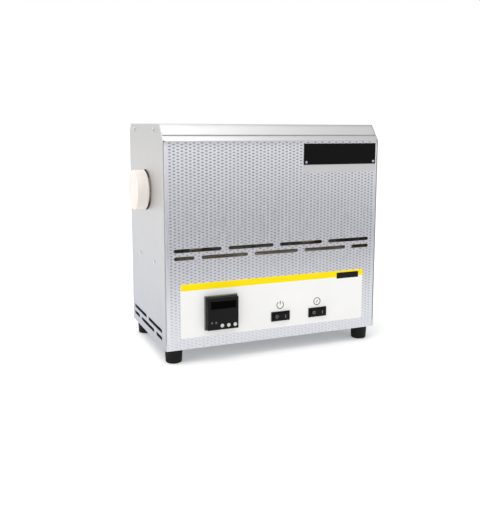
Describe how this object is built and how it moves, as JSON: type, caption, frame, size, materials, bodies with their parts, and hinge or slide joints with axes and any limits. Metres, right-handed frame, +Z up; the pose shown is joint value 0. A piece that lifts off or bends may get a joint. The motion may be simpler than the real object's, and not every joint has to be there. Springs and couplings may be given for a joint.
{
  "type": "tube furnace",
  "caption": "Bench-top tube furnace: folded steel casing round a horizontal ceramic tube closed by fibre plugs, with a controller and rocker switches in front.",
  "frame": {"origin": "on the bench, under the centre of the box round the whole furnace", "axes": "+X to the operator's right along the work tube, +Y from the control panel to the back, +Z up"},
  "size_m": [0.39, 0.214, 0.348],
  "materials": {
    "textured_steel": "satin",
    "smooth_steel": "satin",
    "inner_steel": "satin",
    "fasteners": "satin",
    "foot_rubber": "matte",
    "tube_ceramic": "matte",
    "terminal_ceramic": "satin",
    "heating_alloy": "matte",
    "fibre": "matte",
    "foil": "satin",
    "plate": "satin",
    "strip": "satin",
    "black_plastic": "satin",
    "window": "gloss",
    "board": "satin",
    "keys": "satin",
    "contacts": "polished",
    "heatsink": "satin",
    "relay": "satin",
    "terminal_plastic": "satin"
  },
  "bodies": {
    "furnace": {"band_screws": "fasteners", "base_tray": "smooth_steel", "caption_strip": "strip", "control_foil": "foil", "controller_bezel": "black_plastic", "controller_board": "board", "controller_case": "black_plastic", "controller_clamp": "inner_steel", "controller_frame": "black_plastic", "controller_window": "window", "cover_screws": "fasteners", "cradle_left": "inner_steel", "cradle_right": "inner_steel", "cradle_screws": "fasteners", "din_rail": "inner_steel", "earth_stud": "fasteners", "end_collar_left": "fibre", "end_collar_right": "fibre", "foot_front_left": "foot_rubber", "foot_front_right": "foot_rubber", "foot_nuts": "fasteners", "foot_rear_left": "foot_rubber", "foot_rear_right": "foot_rubber", "foot_screws": "fasteners", "front_panel": "textured_steel", "heat_switch_body": "black_plastic", "heater_leads": "heating_alloy", "heater_terminals": "terminal_ceramic", "heating_coil": "heating_alloy", "inlet_pins": "contacts", "inlet_screws": "fasteners", "insulation_bands": "inner_steel", "insulation_lower": "fibre", "insulation_upper": "fibre", "mains_inlet": "black_plastic", "name_plate": "plate", "plate_rivets": "fasteners", "power_switch_body": "black_plastic", "rear_panel": "smooth_steel", "relay_heatsink": "heatsink", "shelf": "inner_steel", "side_panel_left": "smooth_steel", "side_panel_right": "smooth_steel", "side_rivets": "fasteners", "solid_state_relay": "relay", "terminal_blocks": "terminal_plastic", "terminal_screws": "fasteners", "thermocouple": "fasteners", "thermocouple_gland": "fasteners", "thermocouple_head": "terminal_ceramic", "top_cover": "smooth_steel", "work_tube": "tube_ceramic"},
    "plug_left": {"plug_left": "fibre"},
    "plug_right": {"plug_right": "fibre"},
    "power_rocker": {"power_rocker": "black_plastic"},
    "heat_rocker": {"heat_rocker": "black_plastic"},
    "controller_key_1": {"controller_key_1": "keys"},
    "controller_key_2": {"controller_key_2": "keys"},
    "controller_key_3": {"controller_key_3": "keys"}
  },
  "joints": [
    {"name": "plug_left_pull", "type": "slide", "parent": "furnace", "child": "plug_left", "axis": [-1, 0, 0], "range_m": [0, 0.12]},
    {"name": "plug_right_pull", "type": "slide", "parent": "furnace", "child": "plug_right", "axis": [1, 0, 0], "range_m": [0, 0.12]},
    {"name": "power_rocker_tilt", "type": "hinge", "parent": "furnace", "child": "power_rocker", "pos_m": [0.007, -0.0934, 0.0561], "axis": [0, 0, 1], "range_deg": [0, 16]},
    {"name": "heat_rocker_tilt", "type": "hinge", "parent": "furnace", "child": "heat_rocker", "pos_m": [0.071, -0.0934, 0.0561], "axis": [0, 0, 1], "range_deg": [0, 16]},
    {"name": "key_1_press", "type": "slide", "parent": "furnace", "child": "controller_key_1", "axis": [0, 1, 0], "range_m": [0, 0.0006], "stiffness_N_per_m": 300, "springref_m": -0.0005},
    {"name": "key_2_press", "type": "slide", "parent": "furnace", "child": "controller_key_2", "axis": [0, 1, 0], "range_m": [0, 0.0006], "stiffness_N_per_m": 300, "springref_m": -0.0005},
    {"name": "key_3_press", "type": "slide", "parent": "furnace", "child": "controller_key_3", "axis": [0, 1, 0], "range_m": [0, 0.0006], "stiffness_N_per_m": 300, "springref_m": -0.0005}
  ]
}
